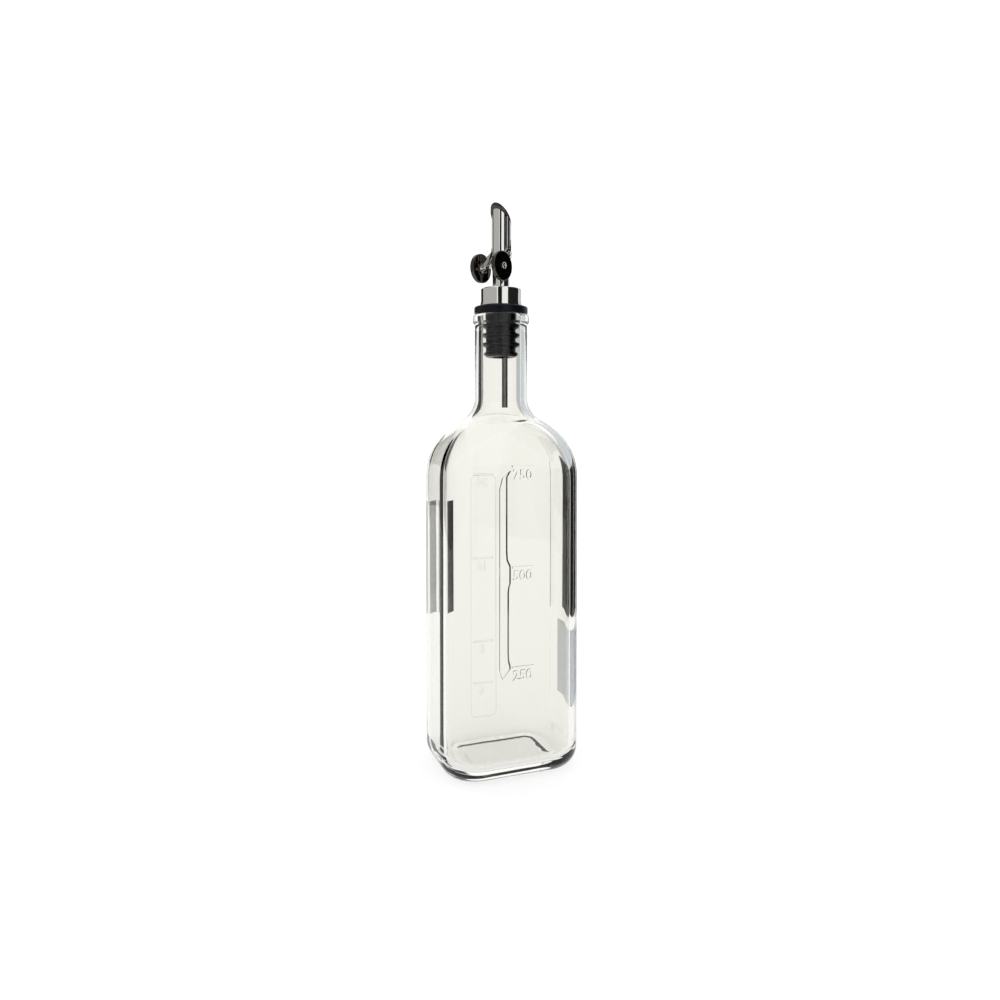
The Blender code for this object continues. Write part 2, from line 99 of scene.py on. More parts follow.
def select_where(piece, test, kind="VERT"):
    """In edit mode, select the vertices or faces whose place passes the test."""
    bpy.ops.object.mode_set(mode="OBJECT")
    mesh = piece.data
    if kind == "VERT":
        for corner in mesh.vertices:
            corner.select = test(corner.co)
    else:
        for face in mesh.polygons:
            face.select = test(face.center)
    bpy.ops.object.mode_set(mode="EDIT")


def leave_edit(smooth_angle=None):
    bpy.ops.mesh.select_all(action="SELECT")
    bpy.ops.mesh.remove_doubles(threshold=SAME_PLACE)
    bpy.ops.mesh.normals_make_consistent(inside=False)
    bpy.ops.object.mode_set(mode="OBJECT")
    if smooth_angle is not None:
        bpy.ops.object.shade_smooth_by_angle(angle=math.radians(smooth_angle))


def apply_modifiers(piece):
    pick(piece)
    for step in list(piece.modifiers):
        bpy.ops.object.modifier_apply(modifier=step.name)


def name_piece(name):
    piece = bpy.context.active_object
    piece.name = name
    piece.data.name = name
    return piece


# %% [markdown]
# The wide faces, the shoulders and the neck follow a few driving sizes. The box of the glass in
# the frame gives the outer ones. The bottle's section is a rectangle with round corners, and the
# dome of the shoulder turns that section into the neck's circle.

# %% Driving sizes of the glass
glass_low, glass_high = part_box("glass_bottle")
RELIEF = 0.0006
BODY_WIDTH = glass_high.x - glass_low.x
BODY_DEPTH = glass_high.y - glass_low.y - 2 * RELIEF
GLASS_TOP = glass_high.z
CORNER_RADIUS = 0.0220
WALL = 0.0045
HEEL_RADIUS = 0.0114
SHOULDER_START = 0.1690
SHOULDER_SWEEP = math.radians(60)
SHOULDER_INWARD_POWER = 1.60
SHOULDER_UPWARD_POWER = 0.78
NECK_RADIUS = 0.0157
BORE_RADIUS = 0.0115
NECK_FILLET = 0.0140
INNER_NECK_FILLET = 0.0182
FILLET_HEIGHT = 0.2185
NECK_FOOT_SLOPE = math.radians(30)
LIP_RADIUS = 0.0169
LIP_HEIGHT = 0.0052
LIP_ROUNDING = 0.0012
LIP_STEP = 0.0010
FLOOR = 0.0070
INNER_HEEL_RADIUS = 0.0080
BASE_RING = 0.0050
PUNT_SLOPE = 0.0040
PUNT_DEPTH = 0.0020
print("glass", round(BODY_WIDTH, 4), "by", round(BODY_DEPTH, 4), "and", round(GLASS_TOP, 4), "high")

# %% [markdown]
# A mould makes the outside, and blown air makes the inside, so the glass has two skins of the
# same kind at different sizes. Each skin starts as a plane with its four corners rounded by a
# vertex bevel. Insetting its face keeps every new ring parallel to the outline, so it makes the
# rounded heel and the floor, and extruding its rim upward makes the walls.

# %% Outline and heel of a skin
CORNER_STEPS = 18
SIDE_CUTS = 13
LONGER_THAN_CORNER = 1.5
HEEL_STEPS = 10
WALL_RINGS = 16
SHOULDER_RINGS = 24


def sweep(angle, steps):
    """Even steps of an angle up to its end, without its start."""
    return [angle * (i + 1) / steps for i in range(steps)]


def rounded_plane(name, inset, height):
    """A flat face with round corners and evenly cut sides, drawn in from the body's outline."""
    radius = CORNER_RADIUS - inset
    bpy.ops.mesh.primitive_plane_add(size=1.0, location=(0.0, 0.0, height))
    piece = name_piece(name)
    piece.scale = (BODY_WIDTH - 2 * inset, BODY_DEPTH - 2 * inset, 1.0)
    bpy.ops.object.transform_apply(location=True, rotation=True, scale=True)
    edit(piece)
    bpy.ops.mesh.select_all(action="SELECT")
    bpy.ops.mesh.bevel(offset=radius, segments=CORNER_STEPS, affect="VERTICES")
    bpy.ops.mesh.select_mode(type="EDGE")
    bpy.ops.mesh.select_all(action="DESELECT")
    bpy.ops.object.mode_set(mode="OBJECT")
    corner_edge = 2 * radius * math.sin(math.pi / 4 / CORNER_STEPS)
    for edge in piece.data.edges:
        start, end = (piece.data.vertices[i].co for i in edge.vertices)
        edge.select = (end - start).length > LONGER_THAN_CORNER * corner_edge
    bpy.ops.object.mode_set(mode="EDIT")
    bpy.ops.mesh.subdivide(number_cuts=SIDE_CUTS)
    return piece


def inset_down(thickness, drop):
    """Inset the selected face, and lower the new one."""
    bpy.ops.mesh.inset(thickness=thickness, depth=-drop, use_even_offset=True)


def heel_and_floor(piece, heel, punt):
    """Round the heel under the rim, then leave the floor flat or give it a shallow punt."""
    bpy.ops.mesh.select_mode(type="FACE")
    bpy.ops.mesh.select_all(action="SELECT")
    inward, downward = 0.0, 0.0
    for turn in sweep(math.pi / 2, HEEL_STEPS):
        next_inward, next_downward = heel * (1 - math.cos(turn)), heel * math.sin(turn)
        inset_down(next_inward - inward, next_downward - downward)
        inward, downward = next_inward, next_downward
    if punt:
        inset_down(BASE_RING, 0.0)
        inset_down(PUNT_SLOPE, -PUNT_DEPTH)


# %% [markdown]
# The shoulder is the clever part. Its rings stay rectangles while they are extruded upward, and a
# Cast modifier then pulls them to a cylinder, by a vertex group that grows from nothing at the
# foot of the shoulder to full at the neck.

# %% Walls and shoulder of a skin


def raise_ring(rise, scale=1.0, centre=(0.0, 0.0)):
    """Extrude the selected ring upward and scale it about its own axis."""
    bpy.ops.mesh.extrude_region_move(TRANSFORM_OT_translate={"value": (0.0, 0.0, rise)})
    if scale != 1.0:
        bpy.ops.transform.resize(value=(scale, scale, 1.0), center_override=(*centre, 0.0))


def neck_foot(neck_radius, fillet):
    """Radius and height at which the dome meets the neck's fillet."""
    radius = neck_radius + fillet * (1 - math.sin(NECK_FOOT_SLOPE))
    return radius, FILLET_HEIGHT - fillet * math.cos(NECK_FOOT_SLOPE)


def walls_and_shoulder(piece, foot, round_radius, top):
    bpy.ops.mesh.select_all(action="SELECT")
    bpy.ops.mesh.region_to_loop()
    for step in range(WALL_RINGS):
        raise_ring((SHOULDER_START - foot) / WALL_RINGS)
    least = math.cos(SHOULDER_SWEEP) ** SHOULDER_INWARD_POWER
    height, pull = SHOULDER_START, {}
    for turn in sweep(SHOULDER_SWEEP, SHOULDER_RINGS):
        rise = (math.sin(turn) / math.sin(SHOULDER_SWEEP)) ** SHOULDER_UPWARD_POWER
        next_height = SHOULDER_START + (top - SHOULDER_START) * rise
        raise_ring(next_height - height)
        height = next_height
        pull[height] = (1 - math.cos(turn) ** SHOULDER_INWARD_POWER) / (1 - least)
    leave_edit()
    rounding = piece.vertex_groups.new(name="rounding")
    for corner in piece.data.vertices:
        if corner.co.z > SHOULDER_START + 10 * NEAR:
            level = min(pull, key=lambda height: abs(height - corner.co.z))
            rounding.add([corner.index], pull[level], "REPLACE")
    cast = piece.modifiers.new("Round the shoulder", "CAST")
    cast.cast_type = "CYLINDER"
    cast.use_z = False
    cast.use_radius_as_size = False
    cast.factor = 1.0
    cast.size = round_radius
    cast.vertex_group = rounding.name
    apply_modifiers(piece)
    piece.vertex_groups.clear()


def skin(name, inset, bottom, heel, neck_radius, fillet, punt=False):
    """One skin of the bottle, from its floor to the foot of the neck, open at the top."""
    piece = rounded_plane(name, inset, bottom + heel)
    heel_and_floor(piece, heel, punt)
    walls_and_shoulder(piece, bottom + heel, *neck_foot(neck_radius, fillet))
    return piece


outer_skin = skin("outer_skin", 0.0, 0.0, HEEL_RADIUS, NECK_RADIUS, NECK_FILLET, punt=True)
inner_skin = skin("inner_skin", WALL, FLOOR, INNER_HEEL_RADIUS, BORE_RADIUS, INNER_NECK_FILLET)
print("skins have", len(outer_skin.data.polygons), "and", len(inner_skin.data.polygons), "faces")

# %% [markdown]
# The neck goes on from the round top of each skin: first a wide fillet, then the straight neck,
# and on the outside the lip that the stopper seats on.

# %% Neck and lip


def arc_points(centre_x, centre_z, radius, start, end, steps):
    """(radius, height) points on an arc, both angles in degrees."""
    points = []
    for i in range(steps + 1):
        turn = math.radians(start + (end - start) * i / steps)
        points.append((centre_x + radius * math.cos(turn), centre_z + radius * math.sin(turn)))
    return points


def select_top_ring(piece):
    top = max(corner.co.z for corner in piece.data.vertices)
    edit(piece)
    select_where(piece, lambda point: point.z > top - NEAR)


def follow(outline, start, centre=(0.0, 0.0)):
    """Extrude the selected ring through (radius, height) points, from start."""
    radius, height = start
    for next_radius, next_height in outline:
        raise_ring(next_height - height, next_radius / radius, centre)
        radius, height = next_radius, next_height


def neck(piece, neck_radius, fillet, outline):
    select_top_ring(piece)
    start = 270 - math.degrees(NECK_FOOT_SLOPE)
    curve = arc_points(neck_radius + fillet, FILLET_HEIGHT, fillet, start, 180, 12)
    follow(curve[1:] + outline, curve[0])
    leave_edit()


lip_foot = GLASS_TOP - LIP_HEIGHT
lip_middle = LIP_RADIUS - LIP_ROUNDING
bend = 0.3 * LIP_STEP
outer_lip = [(NECK_RADIUS, lip_foot - LIP_STEP), (NECK_RADIUS + bend, lip_foot - bend)]
outer_lip += arc_points(lip_middle, lip_foot + LIP_ROUNDING, LIP_ROUNDING, -60, 0, 5)
outer_lip += arc_points(lip_middle, GLASS_TOP - LIP_ROUNDING, LIP_ROUNDING, 0, 90, 6)
inner_lip = arc_points(BORE_RADIUS + LIP_ROUNDING, GLASS_TOP - LIP_ROUNDING, LIP_ROUNDING, 180, 90, 6)
neck(outer_skin, NECK_RADIUS, NECK_FILLET, outer_lip)
neck(inner_skin, BORE_RADIUS, INNER_NECK_FILLET, inner_lip)
print("neck and lip reach", round(max(c.co.z for c in outer_skin.data.vertices), 4))

# %% [markdown]
# The two skins become one body of glass when their open rims are bridged across the top of the
# lip. The inner skin has to face the other way, into the empty space, and recalculating the
# normals of the closed body sees to that.

# %% Close the glass
pick(outer_skin)
inner_skin.select_set(True)
bpy.ops.object.join()
bottle_glass = name_piece("bottle_glass")
select_top_ring(bottle_glass)
bpy.ops.mesh.select_mode(type="EDGE")
bpy.ops.mesh.bridge_edge_loops()
leave_edit(40)
print("glass body has", len(bottle_glass.data.polygons), "faces")

# %% [markdown]
# The mould has a scale cut into it. The near face carries a raised bar with three marks and their
# numbers in millilitres, and the far face a low panel with marks in fluid ounces. They are modelled
# as small solids that start inside the wall, and a Boolean union melts them into the glass. A
# bevel rounds them, as hot glass never fills a mould's corners.

# %% Sizes of the raised scale
FACE = -BODY_DEPTH / 2
ROOT = 0.0015
BAR_LEFT = -0.0141
BAR_RIGHT = -0.0089
BAR_SWELL = BAR_RIGHT + 0.0020
BAR_POINT = BAR_LEFT + 0.0016
BAR_TOP = 0.1755
BAR_RELIEF = 0.0009
BAR_ROOT = 0.0003
BAR_SLOPE = 0.0015
PANEL_RELIEF = 0.0003
PANEL_SIDE = 0.0085
PANEL_FOOT = 0.0145
PANEL_TOP = 0.1700
PANEL_CORNER = 0.0040
TICK_LENGTH = 0.0130
TICK_HEIGHT = 0.0010
LOWEST_TICK = 0.0665
TICK_SPACING = 0.0567
TICK_VOLUME = 250.0
NUMBER_SIZE = 0.0080
NUMBER_DROP = 0.0074
SOFTENING = 0.00022
OUNCE = 29.57
MILLILITRE_MARKS = (("250", 250.0), ("500", 500.0), ("750", 750.0))
OUNCE_MARKS = (("4", 4 * OUNCE), ("8", 8 * OUNCE), ("16", 16 * OUNCE), ("24", 24 * OUNCE))


def tick_height(volume):
    return LOWEST_TICK + TICK_SPACING * (volume / TICK_VOLUME - 1)


def plate(name, outline, relief, root=ROOT):
    """Draw an outline with one extruded point, fill it, and pull it out of the wall."""
    deselect_all()
    x, z = outline[0]
    bpy.ops.mesh.primitive_plane_add(size=0.001, location=(x, FACE + root, z))
    piece = name_piece(name)
    bpy.ops.object.transform_apply(location=True, rotation=True, scale=True)
    edit(piece)
    bpy.ops.mesh.select_all(action="SELECT")
    bpy.ops.mesh.merge(type="CENTER")
    for next_x, next_z in outline[1:]:
        bpy.ops.mesh.extrude_region_move(
            TRANSFORM_OT_translate={"value": (next_x - x, 0.0, next_z - z)})
        x, z = next_x, next_z
    bpy.ops.mesh.select_all(action="SELECT")
    bpy.ops.mesh.edge_face_add()
    bpy.ops.mesh.extrude_region_move(
        TRANSFORM_OT_translate={"value": (0.0, -root - relief, 0.0)})
    leave_edit()
    return piece


def round_front(piece, relief, rounding):
    """Round the edges of the raised face."""
    edit(piece, "FACE")
    select_where(piece, lambda point: point.y < FACE - relief + NEAR, "FACE")
    bpy.ops.mesh.region_to_loop()
    bpy.ops.mesh.bevel(offset=rounding, segments=4, affect="EDGES", clamp_overlap=True)
    leave_edit()
    return piece


# %% [markdown]
# The bar has a straight left edge. Its right edge swells under each mark and narrows again above
# it, so the bar seems to point at the marks. That edge is a slope in the glass that shows a dark
# line, and its faces are painted with shade for it: a near-black glass. The panel on the far side is a long
# low plate.

# %% Shapes of the scale
LEAN = 0.2
NEARLY_UP = 0.9


def mark_painted_shade(bar):
    """Give the faces on the bar's right slope the second finish of the glass: near-black glass as painted
    shade.
    """
    for face in bar.data.polygons:
        leans = face.normal.x > LEAN and face.normal.y < -LEAN and face.normal.z < NEARLY_UP
        face.material_index = int(leans)


def scale_bar():
    foot, middle = LOWEST_TICK, LOWEST_TICK + TICK_SPACING
    outline = [
        (BAR_LEFT, BAR_TOP - 0.0080), (BAR_LEFT, foot - 0.0010), (BAR_POINT, foot - 0.0060),
        (BAR_SWELL, foot - 0.0006), (BAR_SWELL, foot + 0.0008),
        (BAR_RIGHT + 0.0011, foot + 0.0045), (BAR_RIGHT + 0.0009, foot + 0.0090),
        (BAR_RIGHT + 0.0009, middle - 0.0140), (BAR_RIGHT + 0.0013, middle - 0.0108),
        (BAR_SWELL, middle - 0.0090), (BAR_SWELL, middle + 0.0008),
        (BAR_RIGHT + 0.0003, middle + 0.0045), (BAR_RIGHT, middle + 0.0090),
        (BAR_RIGHT, BAR_TOP - 0.0015), (BAR_SWELL, BAR_TOP + 0.0020), (BAR_POINT, BAR_TOP - 0.0020)]
    bar = plate("bar", outline, BAR_RELIEF, BAR_ROOT)
    edit(bar)
    select_where(
        bar, lambda point: point.y < FACE - BAR_RELIEF + NEAR and point.x > BAR_RIGHT - NEAR)
    bpy.ops.transform.translate(value=(-BAR_SLOPE, 0.0, 0.0))
    leave_edit()
    round_front(bar, BAR_RELIEF, SOFTENING)
    mark_painted_shade(bar)
    return bar


def scale_panel():
    across = PANEL_SIDE - PANEL_CORNER
    high, low = PANEL_TOP - PANEL_CORNER, PANEL_FOOT + PANEL_CORNER
    outline = []
    for x, z, start in ((across, high, 0), (-across, high, 90), (-across, low, 180), (across, low, 270)):
        outline += arc_points(x, z, PANEL_CORNER, start, start + 90, 8)
    return round_front(plate("panel", outline, PANEL_RELIEF), PANEL_RELIEF, SOFTENING)


def scale_tick(height):
    side, half = TICK_LENGTH / 2, TICK_HEIGHT / 2
    outline = [(-side, height - half), (side, height - half), (side, height + half), (-side, height + half)]
    return round_front(plate("tick", outline, RELIEF), RELIEF, SOFTENING)


def scale_number(words, height):
    deselect_all()
    bpy.ops.object.text_add(rotation=(math.pi / 2, 0.0, 0.0))
    text = bpy.context.active_object
    text.data.body = words
    text.data.size = NUMBER_SIZE
    text.data.align_x = "CENTER"
    text.data.extrude = (ROOT + RELIEF) / 2 - SOFTENING
    text.data.bevel_depth = SOFTENING
    text.data.bevel_resolution = 1
    text.data.resolution_u = 5
    text.location = (0.0, FACE + (ROOT - RELIEF) / 2, height - NUMBER_DROP)
    bpy.ops.object.convert(target="MESH")
    number = name_piece("number_" + words)
    bpy.ops.object.transform_apply(location=True, rotation=True, scale=True)
    edit(number)
    leave_edit()
    return number


def raised_scale(ground, marks, turn):
    pieces = [ground]
    for words, volume in marks:
        height = tick_height(volume)
        pieces += [scale_tick(height), scale_number(words, height)]
    for piece in pieces:
        pick(piece)
        piece.rotation_euler.z = turn
        bpy.ops.object.transform_apply(location=True, rotation=True, scale=True)
    return pieces


relief = raised_scale(scale_bar(), MILLILITRE_MARKS, 0.0)
relief += raised_scale(scale_panel(), OUNCE_MARKS, math.pi)
print("raised pieces:", len(relief))

# %% [markdown]
# A Boolean modifier can take a whole collection as its second operand, so one step adds all the
# raised pieces. The glass is then smoothed by angle, low enough to keep the slope's edges crisp.

# %% Melt the scale into the glass


def combine(piece, others, operation):
    """Apply one exact Boolean with several solids, and remove them."""
    group = bpy.data.collections.new(piece.name + " " + operation.lower())
    SCENE.collection.children.link(group)
    for other in others:
        for home in list(other.users_collection):
            home.objects.unlink(other)
        group.objects.link(other)
    step = piece.modifiers.new(operation.title(), "BOOLEAN")
    step.operation = operation
    step.solver = "EXACT"
    step.operand_type = "COLLECTION"
    step.collection = group
    apply_modifiers(piece)
    for other in others:
        bpy.data.objects.remove(other)
    bpy.data.collections.remove(group)


combine(bottle_glass, relief, "UNION")
pick(bottle_glass)
bpy.ops.object.shade_smooth_by_angle(angle=math.radians(24))
print("glass with its scale has", len(bottle_glass.data.polygons), "faces")

# %% [markdown]
# The stopper, the collar, the tubes and the weights are all turned shapes. A lathe would cut
# them; here a ring of points is extruded along the outline, with a new size at each step. When
# the last point of the outline is the first one again, merging doubles closes the shape.

# %% Turning a shape
ROUND_STEPS = 96


def turned(name, outline, steps=ROUND_STEPS, centre=(0.0, 0.0)):
    """Extrude a ring through (radius, height) points. Open ends are filled flat."""
    deselect_all()
    radius, height = outline[0]
    bpy.ops.mesh.primitive_circle_add(
        vertices=steps, radius=radius, fill_type="NOTHING", location=(*centre, height))
    piece = name_piece(name)
    bpy.ops.object.transform_apply(location=True, rotation=True, scale=True)
    edit(piece)
    bpy.ops.mesh.select_all(action="SELECT")
    follow(outline[1:], outline[0], centre)
    if math.dist(outline[0], outline[-1]) > SAME_PLACE:
        close_ends(piece, outline, centre)
    leave_edit(30)
    return piece


def close_ends(piece, outline, centre):
    """Fill the ring at each end of an open outline."""
    for radius, height in (outline[0], outline[-1]):
        reach = Vector((centre[0], centre[1], height))
        select_where(
            piece, lambda point: abs(point.z - height) < SAME_PLACE
            and abs((point - reach).length - radius) < NEAR)
        bpy.ops.mesh.edge_face_add()


# %% [markdown]
# The stopper is one piece of black rubber: a flange that sits on the lip, and a core with four
# soft ribs that bend as they are pushed into the bore. Each rib is thin at its edge and thick at
# its root, and the outline below goes round it with small arcs.

# %% Rubber stopper
STOPPER_TOP = 0.2730
STOPPER_BOTTOM = 0.2436
SEAT_GAP = 0.0003
FLANGE_RADIUS = 0.0160
FLANGE_ROUNDING = 0.0012
CORE_RADIUS = 0.0090
RIB_HEIGHTS = (0.2620, 0.2564, 0.2508, 0.2452)
RIB_REACHES = (0.0112, 0.0112, 0.0112, 0.0102)
RIB_ROOT = 0.0034
RIB_EDGE = 0.0018
FLANGE_FILLET = 0.0004
FOOT_CHAMFER = 0.0003
FOOT_RISE = 0.0002
SPOUT_RADIUS = 0.0051
FIT = 0.0003


def stopper_outline():
    foot = GLASS_TOP + SEAT_GAP
    edge = FLANGE_RADIUS - FLANGE_ROUNDING
    points = [(SPOUT_RADIUS + FIT, STOPPER_TOP)]
    points += arc_points(edge, STOPPER_TOP - FLANGE_ROUNDING, FLANGE_ROUNDING, 90, 0, 6)
    points += arc_points(edge, foot + FLANGE_ROUNDING, FLANGE_ROUNDING, 0, -90, 6)
    points.append((CORE_RADIUS + FLANGE_FILLET, foot))
    for height, reach in zip(RIB_HEIGHTS, RIB_REACHES):
        tip = RIB_EDGE / 2
        points.append((CORE_RADIUS, height + RIB_ROOT / 2))
        points += arc_points(reach - tip, height, tip, 80, -80, 8)
        points.append((CORE_RADIUS, max(height - RIB_ROOT / 2, STOPPER_BOTTOM + FOOT_RISE)))
    points += [(CORE_RADIUS - FOOT_CHAMFER, STOPPER_BOTTOM), (SPOUT_RADIUS + FIT, STOPPER_BOTTOM)]
    return points + points[:1]


stopper = turned("stopper", stopper_outline())
print("stopper", round(STOPPER_TOP - STOPPER_BOTTOM, 4), "tall")

# %% [markdown]
# The collar is a pressed steel cap that clamps the tube to the rubber. It flares out at its foot,
# which catches a bright line all round, and its upper edge is only slightly rounded.

# %% Steel collar
COLLAR_WALL = 0.0122
COLLAR_REACH = 0.0127
FLARE = 0.0004
COLLAR_HEIGHT = 0.0105
COLLAR_ROUNDING = 0.0010
COLLAR_CHAMFER = 0.0003
FLARE_TOP = 0.0026
collar_foot = STOPPER_TOP + FIT
collar_top = collar_foot + COLLAR_HEIGHT
collar_bore = SPOUT_RADIUS + FIT
collar_outline = [(collar_bore, collar_top - COLLAR_CHAMFER), (collar_bore + COLLAR_CHAMFER, collar_top)]
collar_outline += arc_points(
    COLLAR_WALL - COLLAR_ROUNDING, collar_top - COLLAR_ROUNDING, COLLAR_ROUNDING, 90, 0, 8)
collar_outline.append((COLLAR_WALL, collar_foot + FLARE_TOP))
collar_outline += arc_points(COLLAR_REACH - FLARE, collar_foot + FLARE, FLARE, 20, -90, 6)
collar_outline.append((collar_bore, collar_foot))
collar = turned("collar", collar_outline + collar_outline[:1])
print("collar is", round(2 * COLLAR_REACH, 4), "wide")

# %% [markdown]
# The spout is a thin tube that is cut off at a slant, so the pour starts at one point. The ring
# goes down the outside and up the bore, and one bisecting plane then makes the slanted mouth.
# The pourer can be turned in the neck. Here it is modelled pouring towards +X, and it is turned
# into its place at the end.

# %% Spout and air tube
POUR_TURN = math.radians(211.4)
SPOUT_BORE = 0.0045
SPOUT_BOTTOM = 0.2460
MOUTH_MIDDLE = 0.3243
MOUTH_SLOPE = 1.2
OVERSHOOT = 0.02
MIDDLE_RING = 0.29
AIR_RADIUS = 0.00175
AIR_BORE = 0.0012
AIR_BOTTOM = 0.2120
AIR_TOP = 0.3150
AIR_PLACE = (0.00215, -0.00082)
mouth_normal = Vector((-MOUTH_SLOPE, 0.0, 1.0)).normalized()


def cut_slant(piece, rise=0.0):
    """Cut everything above the slanted mouth, raised by rise, and close the cut."""
    edit(piece)
    bpy.ops.mesh.select_all(action="SELECT")
    bpy.ops.mesh.bisect(
        plane_co=(0.0, 0.0, MOUTH_MIDDLE + rise), plane_no=mouth_normal,
        clear_outer=True, use_fill=False)


def soften(piece, width, segments):
    """Round every edge that bends by more than 40 degrees."""
    soft = piece.modifiers.new("Soft edges", "BEVEL")
    soft.width = width
    soft.segments = segments
    soft.limit_method = "ANGLE"
    soft.angle_limit = math.radians(40)
    apply_modifiers(piece)


def turn_to_pour(piece):
    pick(piece)
    piece.rotation_euler.z = POUR_TURN
    bpy.ops.object.transform_apply(location=True, rotation=True, scale=True)
    return piece


def model_spout():
    high = MOUTH_MIDDLE + OVERSHOOT
    outline = [(SPOUT_RADIUS, high), (SPOUT_RADIUS, MIDDLE_RING), (SPOUT_RADIUS, SPOUT_BOTTOM)]
    outline += [(SPOUT_BORE, SPOUT_BOTTOM), (SPOUT_BORE, MIDDLE_RING), (SPOUT_BORE, high)]
    spout = turned("spout", outline + outline[:1])
    cut_slant(spout)
    bpy.ops.mesh.select_all(action="SELECT")
    bpy.ops.mesh.region_to_loop()
    bpy.ops.mesh.bridge_edge_loops()
    leave_edit(30)
    soften(spout, 0.0001, 2)
    return turn_to_pour(spout)


spout = model_spout()
air_outline = [
    (AIR_RADIUS, AIR_TOP), (AIR_RADIUS, AIR_BOTTOM), (AIR_BORE, AIR_BOTTOM), (AIR_BORE, AIR_TOP)]
air_tube = turned("air_tube_steel", air_outline + air_outline[:1], 48, AIR_PLACE)
print("spout reaches", round(max(corner.co.z for corner in spout.data.vertices), 4))

# %% [markdown]
# The flap is bent from sheet steel: an oval plate on the slanted mouth, a half round shield behind
# the spout, and on each side a strap that comes down to an eye and goes on as an arm to the
# weight. Solids of the same outline cut the sheet out, and flat belts make the straps and arms:
# a convex hull round two short discs is just the shape of such a belt.

# %% Steel flap
SHEET_IN = 0.0056
SHEET_OUT = 0.0062
PLATE = 0.0009
SHIELD_FOOT = 0.3082
SHIELD_FRONT = 0.0012
HINGE = (0.0004, 0.3035)
EYE_RADIUS = 0.0030
STRAP_FOOT = (HINGE[0], HINGE[1], 0.0024)
STRAP_HEAD = (-0.0008, 0.3110, 0.0011)
STRAP_RECESS = 0.00008
WEIGHT_AT = (0.0094, 0.2953)
ARM_END = 0.0034
ROD_RADIUS = 0.0009
PIN_RADIUS = 0.0009
CUTTER_FOOT = SHIELD_FOOT - 0.01
CUTTER_HEIGHT = 0.06
slant = math.hypot(1.0, MOUTH_SLOPE)


def disc(name, x, z, radius, near, far, steps=64):
    """A short round bar along Y between near and far."""
    deselect_all()
    bpy.ops.mesh.primitive_cylinder_add(
        vertices=steps, radius=radius, depth=abs(far - near),
        location=(x, (near + far) / 2, z), rotation=(math.pi / 2, 0.0, 0.0))
    piece = name_piece(name)
    bpy.ops.object.transform_apply(location=True, rotation=True, scale=True)
    return piece


def belt(name, one, other, near, far):
    """A flat strap round two discs, each given by its place and radius."""
    start = disc(name + "_start", *one, near, far)
    end = disc(name, *other, near, far)
    start.select_set(True)
    bpy.ops.object.join()
    edit(end)
    bpy.ops.mesh.select_all(action="SELECT")
    bpy.ops.mesh.convex_hull()
    leave_edit()
    return end


def upright(name, radius, foot, rise):
    """A solid round bar about the spout, cut off along the slanted mouth."""
    deselect_all()
    high = MOUTH_MIDDLE + OVERSHOOT
    bpy.ops.mesh.primitive_cylinder_add(
        vertices=ROUND_STEPS, radius=radius, depth=high - foot,
        location=(0.0, 0.0, (high + foot) / 2))
    piece = name_piece(name)
    bpy.ops.object.transform_apply(location=True, rotation=True, scale=True)
    cut_slant(piece, rise)
    bpy.ops.mesh.edge_face_add()
    leave_edit()
    return piece


def front_cutter():
    """What takes away the pouring side of the sheet, up to the underside of the plate."""
    deselect_all()
    reach = 2 * SHEET_OUT
    bpy.ops.mesh.primitive_cube_add(
        size=1.0, location=((SHIELD_FRONT + reach) / 2, 0.0, CUTTER_FOOT + CUTTER_HEIGHT / 2))
    piece = name_piece("front_cutter")
    piece.scale = (reach - SHIELD_FRONT, 2 * reach, CUTTER_HEIGHT)
    bpy.ops.object.transform_apply(location=True, rotation=True, scale=True)
    cut_slant(piece, FIT * slant)
    bpy.ops.mesh.edge_face_add()
    leave_edit()
    return piece


def mark_plate(piece):
    """Cut the mesh along the mouth, and give the plate above it the second finish: steel painted with a
    dark reflection.
    """
    middle = Vector((0.0, 0.0, MOUTH_MIDDLE))
    edit(piece)
    bpy.ops.mesh.select_all(action="SELECT")
    bpy.ops.mesh.bisect(plane_co=middle, plane_no=mouth_normal)
    bpy.ops.object.mode_set(mode="OBJECT")
    for face in piece.data.polygons:
        face.material_index = int((face.center - middle).dot(mouth_normal) > 0)


def model_flap():
    flap = upright("flap", SHEET_OUT, SHIELD_FOOT, (FIT + PLATE) * slant)
    core = upright("core_cutter", SHEET_IN, CUTTER_FOOT, FIT * slant)
    combine(flap, [core, front_cutter()], "DIFFERENCE")
    arms = []
    for side in (1, -1):
        near, far = side * SHEET_IN, side * SHEET_OUT
        tuck = side * STRAP_RECESS
        arms.append(belt("strap", STRAP_FOOT, STRAP_HEAD, near + tuck, far - tuck))
        arms.append(belt("arm", (*HINGE, EYE_RADIUS), (*WEIGHT_AT, ARM_END), near, far))
    combine(flap, arms, "UNION")
    reach = 2 * SHEET_OUT
    holes = [disc("eye_hole", *HINGE, PIN_RADIUS + FIT, -reach, reach),
             disc("rod_hole", *WEIGHT_AT, ROD_RADIUS + FIT, -reach, reach)]
    combine(flap, holes, "DIFFERENCE")
    soften(flap, 0.00018, 3)
    bpy.ops.object.shade_smooth_by_angle(angle=math.radians(35))
    mark_plate(flap)
    return turn_to_pour(flap)


flap = model_flap()
print("flap reaches", round(max(corner.co.z for corner in flap.data.vertices), 4))

# %% [markdown]
# Two thick steel discs keep the flap shut by their weight. A rod through the arms carries them,
# and its ends are riveted over. The flap itself swings on two small rivets in the spout's sides.

# %% Weights, rod and rivets
WEIGHT_RADIUS = 0.0086
WEIGHT_THICKNESS = 0.0027
WEIGHT_ROUNDING = 0.0006
ROD_HEAD = 0.00185
ROD_HEAD_HEIGHT = 0.0008
PIN_HEAD = 0.0017
PIN_HEAD_HEIGHT = 0.0006
CROWN = 0.15
RIM = 0.35


